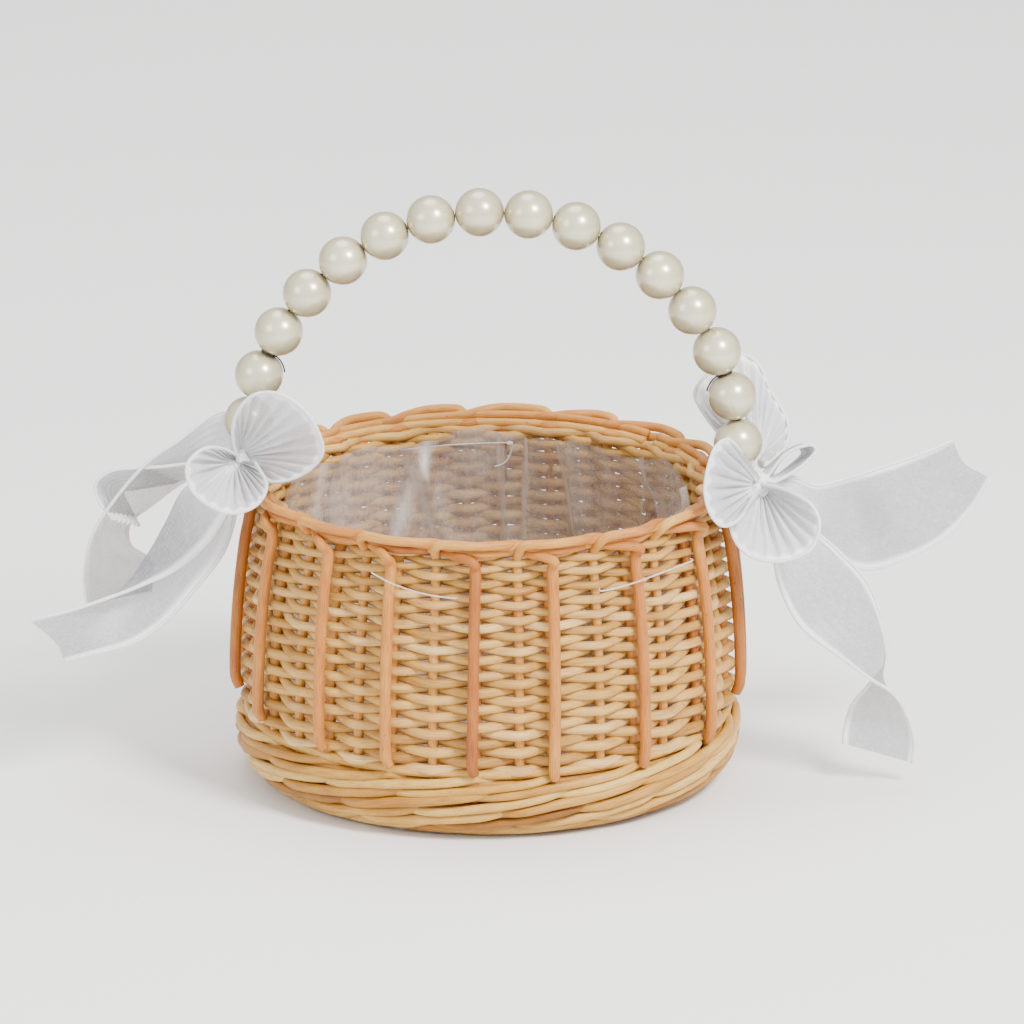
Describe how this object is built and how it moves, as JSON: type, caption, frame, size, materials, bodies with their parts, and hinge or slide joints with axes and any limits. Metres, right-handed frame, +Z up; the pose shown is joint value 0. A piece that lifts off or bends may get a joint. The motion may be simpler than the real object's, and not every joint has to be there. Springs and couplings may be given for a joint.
{
  "type": "flower girl basket",
  "caption": "Small round willow basket with a clear film liner, an arched handle of pearl beads that leans on the rim, and an organza bow at each foot of the handle.",
  "frame": {"origin": "middle of the base's resting face, on the ground plane", "axes": "+Z up, the handle's arch spans X, the front of the basket faces -Y"},
  "size_m": [0.3945, 0.214, 0.2473],
  "materials": {
    "willow_weave": "peeled willow, dry, satin",
    "willow_wale": "peeled willow, satin",
    "willow_stake": "peeled willow, satin",
    "willow_rod": "peeled willow, satin, warmer than the weave",
    "willow_border": "peeled willow, satin",
    "willow_base": "peeled willow, dry",
    "liner_film": "clear crumpled film",
    "nylon_thread": "clear thread",
    "handle_wire": "thin drawn wire",
    "pearl": "pearl lacquer, satin gloss",
    "black_wire": "black coated wire",
    "organza": "sheer organza with corded edges"
  },
  "bodies": {
    "basket": {"base_sticks": "willow_base", "base_weave": "willow_base", "wale_band": "willow_wale", "side_weave_outer": "willow_weave", "side_weave_inner": "willow_weave", "stakes_middle": "willow_stake", "stakes_hidden": "willow_stake", "rods_outer": "willow_rod", "border_braid": "willow_border", "liner_film": "liner_film", "liner_stitches": "nylon_thread"},
    "handle": {"handle_wire": "handle_wire", "pearl_01": "pearl", "pearl_02": "pearl", "pearl_03": "pearl", "pearl_04": "pearl", "pearl_05": "pearl", "pearl_06": "pearl", "pearl_07": "pearl", "pearl_08": "pearl", "pearl_09": "pearl", "pearl_10": "pearl", "pearl_11": "pearl", "pearl_12": "pearl", "pearl_13": "pearl", "pearl_14": "pearl", "pearl_15": "pearl", "pearl_16": "pearl", "bead_tie_left": "black_wire", "bead_tie_right": "black_wire", "bow_left_knot": "organza", "bow_left_loop_inner": "organza", "bow_left_loop_outer": "organza", "bow_left_tail_front": "organza", "bow_left_tail_back": "organza", "bow_right_knot": "organza", "bow_right_loop_back": "organza", "bow_right_loop_inner": "organza", "bow_right_loop_lower": "organza", "bow_right_loop_small": "organza", "bow_right_tail_side": "organza", "bow_right_tail_down": "organza"}
  },
  "joints": [
    {"name": "handle_lean", "type": "hinge", "parent": "basket", "child": "handle", "pos_m": [0, 0, 0.1232], "axis": [1, 0, 0], "range_deg": [-10, 10]}
  ]
}
